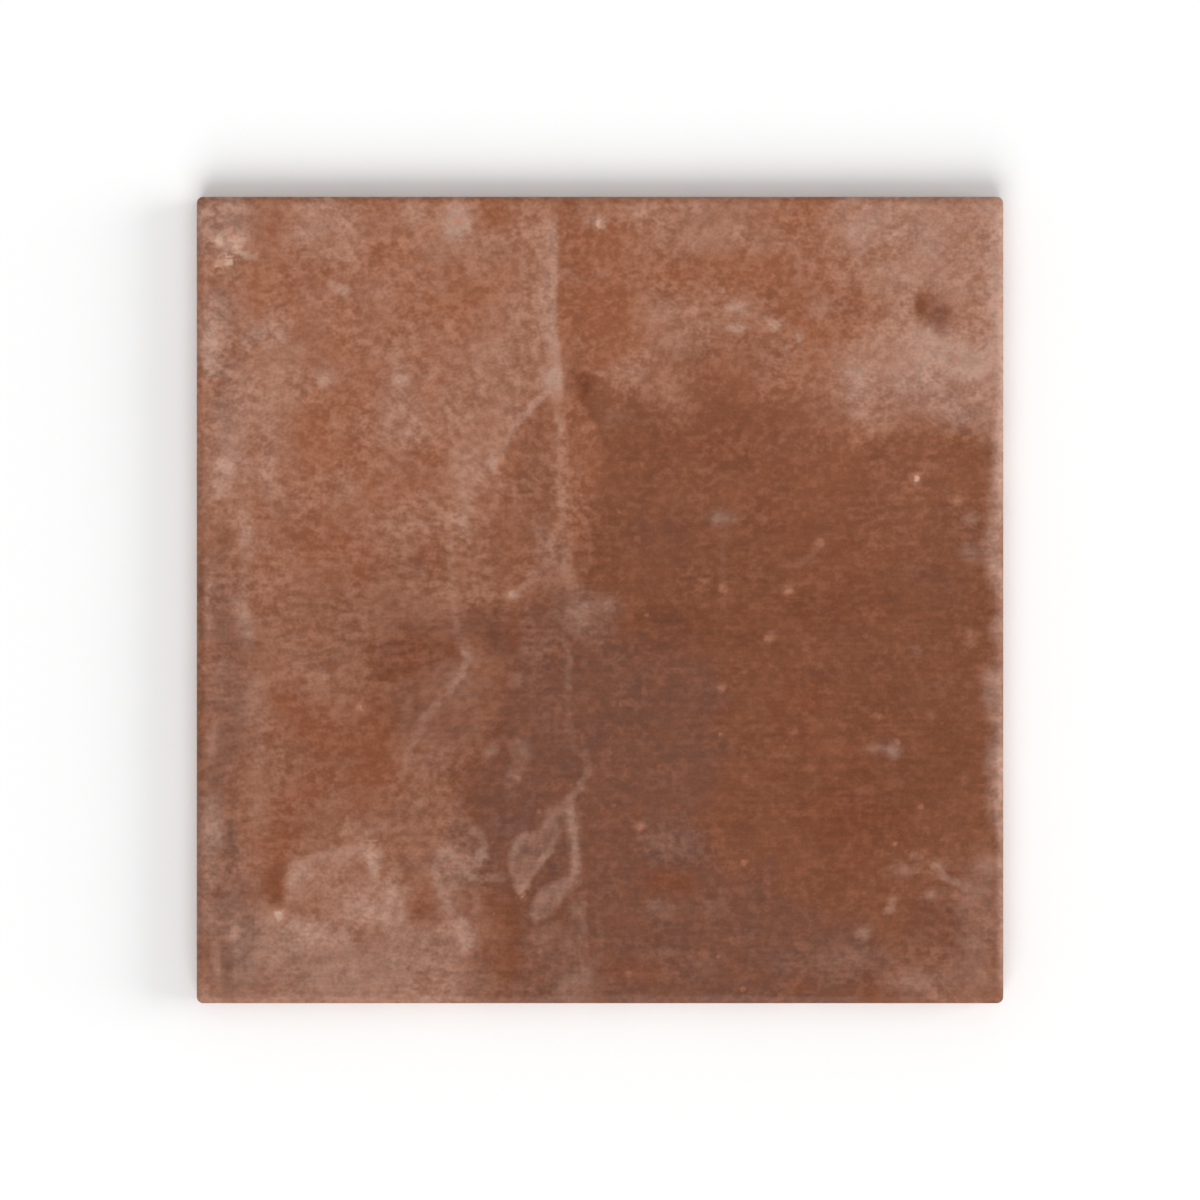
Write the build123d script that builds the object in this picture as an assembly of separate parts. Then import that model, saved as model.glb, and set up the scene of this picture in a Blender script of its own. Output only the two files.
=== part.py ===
# Pressed porcelain floor tile with a hand-cut look: a plain face inside an
# uneven eased edge, straight die walls, and a ribbed back that keys to mortar.
# Millimetres. It lies face up: +Z is the face's normal, and the origin is the
# middle of the plane that the back ribs rest on.

from build123d import *
import math
import os

# The tile as sold
tile_length = 200.0
tile_width = 200.0
thickness = 9.0

# Side walls, from the back upwards
corner_radius = 1.6
back_bevel_width = 0.9
back_bevel_height = 2.4

# Eased edge round the face: how far it reaches in and how far it drops
ease_width = 2.0
ease_drop = 1.5
ease_turn = 78.0
ease_bands = 8
face_corner_radius = 4.2

# Unevenness of the line where the face meets the eased edge
wave_lengths = (84.0, 37.0, 21.0)
wave_heights = (0.26, 0.22, 0.13)
wave_fade = 22.0
wave_point_spacing = 5.0

# Back relief: square pockets sunk between ribs, inside a plain border
border_width = 7.5
rib_width = 3.2
pocket_pitch = 18.0
pocket_depth = 0.6
pocket_draft = 35.0
pocket_corner_cut = 1.8

# Levels that follow from the sizes above
land_top = thickness - ease_drop
golden_turn = math.pi * (3.0 - math.sqrt(5.0))


def edge_wave(side, place, half_run):
    """How far the face line strays inwards at a place along one side, from its middle."""
    nearness = min(1.0, (half_run - abs(place)) / wave_fade)
    fade = nearness ** 2 * (3.0 - 2.0 * nearness)
    stray = sum(
        height * math.sin(math.tau * place / length + golden_turn * (3 * side + term))
        for term, (length, height) in enumerate(zip(wave_lengths, wave_heights))
    )
    return fade * stray


def section(level, inset, corner, wave_share):
    """Level section of the cap: four wavy sides joined by tangent corner arcs."""
    edges = []
    for side in range(4):
        along, across = (tile_length, tile_width) if side % 2 == 0 else (tile_width, tile_length)
        frame = Plane.XY.offset(level).rotated((0, 0, 90 * side))
        half_run = along / 2 - inset - corner
        reach = across / 2 - inset
        steps = max(4, round(along / wave_point_spacing))
        points = []
        for step in range(steps + 1):
            place = half_run * (2 * step / steps - 1)
            stray = wave_share * edge_wave(side, place, half_run)
            points.append(frame.from_local_coords((place, stray - reach)))
        heading = frame.x_dir
        edges.append(Spline(points, tangents=[heading, heading]))
        corner_end = frame.from_local_coords((half_run + corner, corner - reach))
        edges.append(TangentArc(points[-1], corner_end, tangent=heading))
    return Face(Wire(edges))


def die_walls():
    """The straight band that the die forms, over the bevel that frees the back."""
    die_outline = RectangleRounded(tile_length, tile_width, corner_radius)
    band = extrude(Pos(0, 0, back_bevel_height) * die_outline, land_top - back_bevel_height)
    back_outline = RectangleRounded(
        tile_length - 2 * back_bevel_width,
        tile_width - 2 * back_bevel_width,
        corner_radius,
    )
    foot = loft([back_outline, Pos(0, 0, back_bevel_height) * die_outline], ruled=True)
    return foot + band


def eased_edge():
    """The cap from the die walls up to the face: narrow bands along part of an ellipse."""
    sections = []
    whole_turn = math.radians(ease_turn)
    for band in range(ease_bands + 1):
        turn = whole_turn * band / ease_bands
        share = (1.0 - math.cos(turn)) / (1.0 - math.cos(whole_turn))
        level = land_top + ease_drop * math.sin(turn) / math.sin(whole_turn)
        corner = corner_radius + (face_corner_radius - corner_radius) * share
        sections.append(section(level, ease_width * share, corner, share))
    return loft(sections, ruled=True)


def fill_count(span):
    """How many pockets, with a rib between each two, fill a span."""
    return max(1, round((span + rib_width) / pocket_pitch))


def back_pockets():
    """Drafted pockets with cut corners, in even rows that fill the field inside the border."""
    margin = back_bevel_width + border_width
    field_length = tile_length - 2 * margin
    field_width = tile_width - 2 * margin
    columns, rows = fill_count(field_length), fill_count(field_width)
    pitch_x = (field_length + rib_width) / columns
    pitch_y = (field_width + rib_width) / rows
    mouth = Rectangle(pitch_x - rib_width, pitch_y - rib_width)
    mouth = chamfer(mouth.vertices(), pocket_corner_cut)
    pocket = extrude(mouth, pocket_depth, taper=pocket_draft)
    return [place * pocket for place in GridLocations(pitch_x, pitch_y, columns, rows)]


def tile():
    return die_walls() + eased_edge() - back_pockets()


os.makedirs("parts", exist_ok=True)
export_step(tile(), "parts/tile.step")
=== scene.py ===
import math

import bpy
import numpy as np
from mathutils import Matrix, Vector


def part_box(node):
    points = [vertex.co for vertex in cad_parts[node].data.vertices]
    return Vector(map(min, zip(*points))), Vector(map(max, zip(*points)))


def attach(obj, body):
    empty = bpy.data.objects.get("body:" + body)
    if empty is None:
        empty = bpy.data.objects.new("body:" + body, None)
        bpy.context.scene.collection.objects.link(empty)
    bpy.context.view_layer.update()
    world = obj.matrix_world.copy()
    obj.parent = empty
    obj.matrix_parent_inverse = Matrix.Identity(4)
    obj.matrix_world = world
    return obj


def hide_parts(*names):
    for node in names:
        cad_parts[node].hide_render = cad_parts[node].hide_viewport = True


# A pressed porcelain floor tile with a terracotta look: one fired piece, seen
# from straight above on a white floor. Lengths are millimetres unless a comment
# says otherwise, with X to the right, Y up the picture and Z off the face.

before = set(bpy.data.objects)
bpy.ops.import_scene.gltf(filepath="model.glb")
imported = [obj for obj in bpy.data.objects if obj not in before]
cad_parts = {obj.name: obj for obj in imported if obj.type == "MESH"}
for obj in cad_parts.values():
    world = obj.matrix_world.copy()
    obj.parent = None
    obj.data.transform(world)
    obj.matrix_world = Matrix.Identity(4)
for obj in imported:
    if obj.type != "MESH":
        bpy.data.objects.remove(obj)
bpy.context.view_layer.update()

METRES = 0.001
highest_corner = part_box("tile")[1] / METRES
half_side = highest_corner.x
thickness = highest_corner.z

# The tile's own section, the same sizes as the solid it stands for
wall_corner = 1.6
bevel_width = 0.9
bevel_height = 2.4
ease_width = 2.0
ease_drop = 1.5
ease_turn = math.radians(78.0)
face_corner = 4.2
wave_lengths = (84.0, 37.0, 21.0)
wave_heights = (0.26, 0.22, 0.13)
wave_fade = 22.0
golden_turn = math.pi * (3.0 - math.sqrt(5.0))
border_width = 7.5
rib_width = 3.2
pocket_depth = 0.6
pocket_flank = 0.42
pocket_cut = 1.8
pocket_rows = 10
land_top = thickness - ease_drop

# How finely each part of the surface is meshed
face_cells = 256
face_edge_insets = (0.0, 0.05, 0.16, 0.34, 0.58, 0.88, 1.22, 1.6, 2.0, 2.45, 3.0, 3.7)
corner_fade = 12.0
wall_levels = (7.0, 6.2, 5.2, 4.2, 3.2, 2.55, 2.4, 2.2, 1.4, 0.6, 0.1)
border_cells = 4

# Points on the rounded rim and foot of a pocket's flank: how far from the sharp edge, and how deep
rounding_width = 0.2
rim_inset = 0.02
rim_drop = 0.07
foot_inset = 0.04
foot_rise = 0.06
cut_margin = 0.05  # from a pocket's cut corner to the next ring

# Height of the undulations pressed into the face, by size of feature, and where they set in
undulations = ((46.0, 0.075), (19.0, 0.035), (7.0, 0.014), (2.6, 0.006))
undulation_seed = 300
undulation_start = (0.3, 3.5)
relief_start = 0.6

# Small pits in the face and small knocks along its edge, each size drawn between two limits
pit_count = 150
pit_seed = 7
pit_margin = 4.0
pit_radii = (0.7, 1.6)
pit_depths = (0.03, 0.1)
nick_count = 46
nick_seed = 23
nick_spread = 0.97
nick_lengths = (0.8, 2.6)
nick_reaches = (0.35, 0.8)
nick_depths = (0.06, 0.26)
nick_inset = 0.9

# Grit of the walls, shifted from level to level, and the levels between which the glaze runs out
wall_grit = 0.035
wall_grit_size = 3.2
wall_grit_seed = 401
grit_shift_x = 3.1
grit_shift_y = -2.3
glaze_levels = (5.6, 7.4)

# How far drawn shapes are pushed about, so that they come out irregular: seed and reach
WIDE_STRAY = (11, 4.5)
SMALL_STRAY = (31, 1.9)
TINY_STRAY = (51, 0.6)
stray_size = 12.0
stray_layers = 4
north_seed = 50

# Mottling over the print, small and wide: size of feature, seed and layers
MOTTLE = (8.0, 71, 4)
CLOUDS = (24.0, 91, 3)

# No share of the print is over this
most_share = 1.4

# Patches count as wide when both reaches are over this, and fall off as a rounded bell
wide_patch = 6.5
patch_falloff = 2.0
patch_flatness = 1.4

# Lines taper over this share of their length at each end, and fade out this far from their middle
line_taper = 0.1
line_fade = (1.8, 3.2)

# Specks stray a little from round
speck_stray = 0.5
speck_stray_size = 2.0
speck_seed = 151
speck_falloff = 1.3


# Fields over the tile, in numpy

def smooth(low, high, value):
    """0 below low, 1 above high, and an even S between."""
    share = np.clip((value - low) / (high - low), 0.0, 1.0)
    return share * share * (3.0 - 2.0 * share)


def uneven(x, y, size, seed):
    """Seeded smooth field from -1 to 1, with features of about the given size."""
    period = 97
    lattice = np.random.default_rng(seed).uniform(-1.0, 1.0, (period, period))
    column, row = np.floor(x / size).astype(int), np.floor(y / size).astype(int)
    across = smooth(0.0, 1.0, x / size - column)
    up = smooth(0.0, 1.0, y / size - row)
    here, right = column % period, (column + 1) % period
    low, high = row % period, (row + 1) % period
    bottom = lattice[here, low] * (1 - across) + lattice[right, low] * across
    top = lattice[here, high] * (1 - across) + lattice[right, high] * across
    return bottom * (1 - up) + top * up


def layered(x, y, size, seed, layers=3):
    """Sum of uneven fields, each half as large and half as strong as the last."""
    total = sum(uneven(x, y, size / 2 ** n, seed + n) / 2 ** n for n in range(layers))
    return total / (2.0 - 2.0 ** (1 - layers))


def stray_places(x, y, seed, reach):
    """Places pushed about a little, so that drawn shapes come out irregular."""
    east = layered(x, y, stray_size, seed, stray_layers)
    north = layered(x, y, stray_size, seed + north_seed, stray_layers)
    return x + reach * east, y + reach * north


def to_segment(x, y, start, end):
    """Distance to a segment, which side of it, and how far along it."""
    run = np.subtract(end, start)
    length = math.hypot(*run)
    rel_x, rel_y = x - start[0], y - start[1]
    along = np.clip((rel_x * run[0] + rel_y * run[1]) / length ** 2, 0.0, 1.0)
    distance = np.hypot(rel_x - along * run[0], rel_y - along * run[1])
    side = np.sign(rel_x * run[1] - rel_y * run[0])
    return distance, side, along * length


def inside(x, y, outline, soft):
    """1 inside a closed outline and 0 outside, with an edge this soft."""
    no_rise = 1e-9
    closest = np.full(x.shape, np.inf)
    within = np.zeros(x.shape, bool)
    for start, end in zip(outline, outline[1:] + outline[:1]):
        distance = to_segment(x, y, start, end)[0]
        closest = np.minimum(closest, distance)
        crosses = (start[1] > y) != (end[1] > y)
        rise = end[1] - start[1] or no_rise
        meets = start[0] + (y - start[1]) * (end[0] - start[0]) / rise
        within ^= crosses & (x < meets)
    signed = np.where(within, closest, -closest)
    return smooth(-soft, soft, signed)


def add_patches(wide_places, small_places, patches):
    """Sum of soft oval patches; the small ones are pushed about less than the wide ones."""
    total = np.zeros(wide_places[0].shape)
    for middle_x, middle_y, reach_x, reach_y, strength in patches:
        x, y = wide_places if min(reach_x, reach_y) > wide_patch else small_places
        away = ((x - middle_x) / reach_x) ** 2 + ((y - middle_y) / reach_y) ** 2
        total += strength * np.exp(-patch_falloff * away ** patch_flatness)
    return total


def line_field(x, y, lines):
    """Signed distance to the nearest of several lines, and that line's strength here."""
    closest = np.full(x.shape, np.inf)
    signed = np.zeros(x.shape)
    strength = np.zeros(x.shape)
    for start_strength, end_strength, points in lines:
        spans = [math.dist(a, b) for a, b in zip(points, points[1:])]
        run = 0.0
        for start, end, span in zip(points, points[1:], spans):
            distance, side, along = to_segment(x, y, start, end)
            share = (run + along) / sum(spans)
            taper = smooth(0.0, line_taper, share) * (1.0 - smooth(1.0 - line_taper, 1.0, share))
            local = start_strength + (end_strength - start_strength) * share
            nearer = distance < closest
            closest = np.where(nearer, distance, closest)
            signed = np.where(nearer, distance * np.where(side == 0, 1, side), signed)
            strength = np.where(nearer, local * taper, strength)
            run += span
    return signed, strength * (1.0 - smooth(*line_fade, closest))


# The fired print, by zone, with painted rim shade and painted rim highlight among its patches. Patches are
# (x, y, reach in x, reach in y, strength).

BROWN_ZONE = [
    (-7.4, 57.5), (-4, 55.6), (6, 51.5), (18, 50), (23, 60), (29, 65), (36, 62), (44, 55), (52, 50),
    (58, 44), (62, 40), (76, 41), (88, 41), (104, 40), (104, -104), (-27, -104), (-26, -80), (-30, -73),
    (-30, -66), (-34, -56), (-35, -46), (-31, -39), (-28, -34), (-27, -22), (-24, -13), (-20.5, -8),
    (-19.5, -3), (-16, 1.5), (-8, 2), (-4.4, 3), (-3, 9), (-3.2, 17), (-2.6, 23), (0.2, 28.5),
    (0.8, 36), (-0.6, 42), (-3.6, 47), (-6, 52),
]
ASH_ZONE = [
    (-18, 0), (-10, 3), (-4, 2), (5, 1), (9, -8), (20, -9), (28, -12), (30, -20), (27, -30), (30, -38),
    (26, -46), (23, -52), (28, -58), (30, -64), (36, -70), (46, -74), (54, -78), (69, -79), (71, -88),
    (64, -96), (62, -104), (-19, -104), (-20, -92), (-19, -80), (-22, -73), (-29, -71), (-40, -72),
    (-40, -62), (-34, -52), (-31, -43), (-26, -36), (-25, -26), (-24, -14), (-20, -8),
]
TOP_RIGHT_ZONE = [
    (57, 93), (62, 104), (104, 104), (104, 43), (92, 42), (84, 44), (76, 43), (70, 40), (62, 43),
    (58, 50), (60, 58), (67, 64), (71, 69), (67, 76), (64, 82), (60, 88),
]
LOWER_LEFT_ZONE = [
    (-77, -65.5), (-72, -64), (-67, -62.6), (-58, -60), (-56.6, -64), (-55.4, -68.4), (-50, -70.6),
    (-48, -75), (-46, -81), (-42, -82), (-37, -79), (-34, -81), (-32.5, -86), (-33.5, -90),
    (-31.5, -95), (-33, -104), (-104, -104), (-104, -77), (-92, -77), (-86, -79), (-84, -77),
    (-77.4, -76), (-76.4, -70),
]
VEIN_SIDE_ZONE = [
    (-11.2, 93), (-10.8, 75), (-9.6, 54), (-13, 51.5), (-18, 46), (-22, 41), (-25, 33), (-30, 29),
    (-33, 17), (-37, 17), (-37, 30), (-37, 40), (-40, 52), (-36, 62), (-24, 65), (-20, 80), (-19, 93),
]
LEAF_ZONE = [
    (-13, 51.5), (-18, 46), (-22, 40), (-24, 33), (-25, 24), (-28, 14), (-27, 6), (-20, 3.5), (-15, 9),
    (-12, 16), (-10.6, 28), (-10.8, 48),
]
BESIDE_LINE_ZONE = [
    (-39, -24), (-44, -30), (-47.5, -37), (-51, -49), (-56, -58), (-50, -68), (-44, -72), (-41, -62),
    (-36, -52), (-32, -42), (-27, -36), (-26, -24), (-32, -20),
]
LOOP_LEFT = [
    (-10, -49.4), (-13, -51), (-14.2, -54.5), (-16, -58), (-19, -58.2), (-21.4, -60), (-22.7, -64),
    (-22, -68.6), (-19.8, -72.8), (-17.4, -71), (-16, -67.6), (-14.4, -65), (-11.4, -61.6), (-10, -59),
    (-10.4, -53.4), (-9.2, -55), (-8.2, -60), (-7.4, -65), (-9.6, -69.6), (-5, -70.5), (-4.8, -56),
    (-5.6, -52), (-7, -49.4),
]
LOOP_FOOT = [
    (-5.4, -70), (-8, -72.4), (-9.6, -75), (-12, -78), (-15.5, -79.6), (-18, -78.4), (-17.4, -75.4),
    (-15.4, -72.6), (-13, -70.6), (-9, -69.6),
]
DARK_MARK = [
    (77.4, 75), (79, 77), (81.6, 76.2), (85, 75.4), (87.6, 72), (88.2, 68.6), (87, 66), (83.6, 65),
    (81.6, 67.6), (79, 69), (77.6, 71.6),
]
STRIP = [
    (-10.4, 94), (-10.2, 75), (-9.4, 54), (-8.4, 44), (-7.8, 25), (-7, 8), (-5, 4), (-4, 4), (-2.8, 12),
    (-2.6, 22), (0.4, 30), (0.6, 38), (-4, 47), (-2, 56), (8, 66), (6, 80), (4, 94),
]

WARM_PATCHES = [
    (-73, 79, 10, 8, 0.6), (-57, 72, 14, 12, 0.4), (-66, 63, 10, 7, 0.5), (-35, 73, 17, 8, 0.6),
    (-53, 86, 9, 5, 0.6), (-50, 97, 4, 4, 0.5), (-26, 95, 6, 8, 0.9), (-8, 96, 5, 6, 0.9),
    (-73, 46, 9, 8, 0.6), (-62, 51, 10, 7, 0.6), (-65, 38, 13, 9, 0.7), (-44, 34, 8, 9, 0.7),
    (-55, 27, 9, 6, 0.6), (-71, 16, 12, 7, 0.8), (-60, 13, 9, 8, 0.6), (-42, 10, 6, 7, 0.8),
    (-62, 5, 10, 5, 0.5), (-85, 77, 6, 6, 0.4), (-83, 95, 5, 7, 0.5), (-85, 24, 4, 8, 0.4),
    (-73, -27, 9, 9, 0.8), (-65, -38, 16, 12, 1.0), (-56, -29, 7, 14, 0.9), (-57, -46, 9, 8, 0.8),
    (-75, -51, 10, 9, 0.75), (-81, -59, 8, 6, 0.7), (-50, -14, 12, 8, 0.8), (-24, -7, 8, 10, 0.5),
    (-36, -34, 10, 14, 0.4), (-62, -4, 26, 10, 0.3), (-80, -28, 6, 12, 0.5), (-40, -12, 7, 4, 0.8),
    (-42, -10, 15, 9, 0.25), (2, 80, 12, 20, 0.5), (25, 82, 24, 6, 0.9), (46, 76, 16, 8, 0.8),
    (54, 65, 9, 13, 0.7), (50, 96, 7, 7, 0.5), (62, 72, 7, 10, 0.4), (8, 64, 10, 8, 0.5),
    (60, 41, 5, 6, 0.6), (-62, -67, 9, 5, 0.6), (-72, -76, 6, 4, 0.7), (-58, -85, 4, 4, 0.35),
    (-84, -95, 6, 5, 0.5), (-25, -80, 6, 12, 0.6), (-43, -76, 4, 6, 0.6), (-80, -69, 4, 8, 0.7),
]
RUST_PATCHES = [
    (60, -2, 14, 9, 0.7), (50, -30, 12, 12, 0.7), (64, -54, 18, 8, 1.0), (62, -42, 10, 8, 0.6),
    (64, -66, 9, 8, 0.6), (25, 37, 26, 6, 0.5), (52, 30, 20, 12, 0.5), (58, 12, 14, 12, 0.5),
    (40, 20, 12, 8, 0.3), (32, 55, 10, 8, 0.4), (40, 45, 16, 6, 0.3), (17, -70, 9, 4, 0.9),
    (10, -92, 12, 5, 0.8), (-24, -86, 5, 14, 0.7), (-24, -7, 6, 7, 0.8), (8, -57, 4, 6, 0.4),
    (50, -96, 5, 3, 0.7), (18, -12, 10, 4, 0.4), (-32, -53, 3, 5, 0.6), (43, -42, 8, 4, 0.5),
    (76, -86, 8, 6, 0.3),
]
DEPTH_AND_RIM_SHADE_PATCHES = [
    (-45, -13, 15, 13, 0.38), (-24.6, -7, 6, 9, 0.7), (-31, -4, 7, 7, 0.15), (-13, 4, 6, 5, 0.25),
    (-3.6, 53, 2.4, 5, 0.2), (-55, -27, 6, 18, 0.14), (-80, -70, 2.8, 6.6, 0.36), (-84, -71, 3, 6, 0.2),
    (-43, -77.5, 4, 5, 0.3), (-47, -66, 6, 6, 0.1), (-43, 10, 6, 8, 0.2), (-15.5, 42, 6, 10, 0.34),
    (-3, 51, 3, 8, 0.22), (-4, 10, 4, 9, 0.2), (-5, 75, 5, 18, 0.18), (-87, 76, 4, 6, 0.15),
    (-92, 80, 3, 3, 0.3), (-54, -1, 26, 12, 0.16), (-50, 10, 9, 8, 0.2), (-30, -11, 8, 7, 0.2),
    (-91, 30, 6, 12, 0.08), (-8, 10, 7, 9, 0.1), (38, 63, 9, 6, 0.1), (-48, -30, 7, 9, 0.32),
    (-80, -92, 16, 8, 0.28), (-36, -22, 10, 16, 0.36), (-30, -38, 8, 12, 0.16), (-92, -88, 9, 16, 0.5),
    (-55, -6, 30, 13, 0.08), (-36, -34, 9, 12, 0.1), (-91, -59, 1.8, 5, 0.3), (-93, 56, 5, 6, 0.1),
    (-31, -93, 6.4, 10, 0.6), (-94, -30, 8, 44, 0.14), (-91, -28, 7, 34, 0.1), (-75, 18, 12, 7, 0.06),
    (-90, -10, 7, 10, 0.28), (-91, -30, 6, 12, 0.08), (-91, -50, 5, 8, 0.1), (-91, 48, 6, 14, 0.08),
    (-25, 96, 5, 6, 0.2), (-8, 97, 4, 6, 0.25), (-52, 22, 16, 8, 0.1), (-27, 12, 9, 14, 0.24),
    (-16, 22, 6, 16, 0.26), (-34, -5, 9, 8, 0.3), (-48, -26, 6, 10, 0.3), (18, -5, 11, 5, 0.3),
    (33, -8, 11, 5, 0.2), (13, -12, 10, 5, 0.25), (12, 15, 14, 14, 0.12), (68, -26, 10, 5, 0.22),
    (86, -36, 8, 12, 0.22), (76, -44, 10, 7, 0.15), (34, -54, 6, 5, 0.2), (17, -70, 9, 4, 0.22),
    (10, -92, 11, 4, 0.2), (-11, -66, 3.4, 3.4, 0.3), (-30, -50, 4, 7, 0.15), (-11, -38, 4, 16, 0.2),
    (14, -28, 9, 8, 0.12), (-25, -77, 7, 5, 0.15), (62, -56, 16, 8, 0.16), (30, 46, 10, 4, 0.06),
    (-29, -73, 8, 7, 0.16), (8, 55, 8, 5, 0.15), (90, 44, 9, 4, 0.25), (79, 73.2, 2.5, 4.3, 0.6),
    (82, 69.4, 3.8, 4.8, 0.32), (85.8, 66.4, 2, 1.9, 0.4), (71.4, 52.8, 1.8, 1.7, 0.35),
    (79, 48.8, 2, 2.2, 0.35), (84, 97, 3, 2, 0.3), (20, 44, 12, 4, -0.14), (60, 40, 8, 8, -0.12),
    (28, 58, 14, 9, -0.4), (82, 47, 16, 5, 0.32), (45, 74, 9, 6, 0.1), (-50, 50, 9, 9, 0.2),
    (-90, 40, 7, 18, 0.08), (90, -50, 8, 8, -0.1), (10, 12, 9, 9, -0.08), (60, 10, 20, 9, -0.06),
    (74, 10, 12, 9, -0.08), (84, 30, 14, 9, -0.1), (15, 50, 9, 5, -0.1), (66, 30, 40, 16, -0.16),
    (22, 28, 18, 12, -0.05), (50, 40, 16, 9, -0.18), (3, 50, 7, 4, -0.3), (45, 52, 14, 8, -0.25),
    (78, -67, 10, 6, -0.18), (80, -86, 12, 8, -0.2), (90, -62, 10, 8, -0.15), (-4, -4, 8, 7, -0.1),
    # The narrow patches at x -98 and -99 are painted shade on the left eased edge, which faces away from the
    # light; the others are print.
    (-93.6, 10, 1.7, 8, 0.4), (-93.4, -4, 2.2, 9, 0.35), (-99, 5, 1.4, 5, 0.5),
    (-99, -7.5, 1.4, 3.4, 0.7), (-99, -24, 1.4, 5, 0.5), (-99, -36, 1.4, 5, 0.5),
    (-95, -45, 1.4, 2, 0.45), (-92, -47.5, 1.6, 3, 0.35), (-91.6, -57, 1.4, 4.4, 0.35),
    (-93, -20, 3.4, 3.4, 0.2), (-88.4, -28, 1.4, 3, 0.25), (-92, -36, 3, 5, 0.2),
    (-99, 70, 1.4, 6, 0.3), (-99, 90, 1.4, 8, 0.3), (-92, -74, 3, 4, 0.3), (-99, -71, 1.6, 3, 0.6),
    (-93, -90, 1.6, 6, 0.3), (-92, -60, 4, 8, 0.35), (66, 46, 8, 5, 0.2), (-98, -84, 4, 10, 0.3),
    (-93, 18, 3, 6, 0.3), (-98, 20, 2, 4, 0.3), (-88, -88, 5, 6, 0.2), (-75, -97, 10, 3, 0.2),
    (-91, -96, 5, 3, 0.2), (86, 52, 4, 2, 0.15), (72, 49, 5, 3, 0.15),
]
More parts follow.
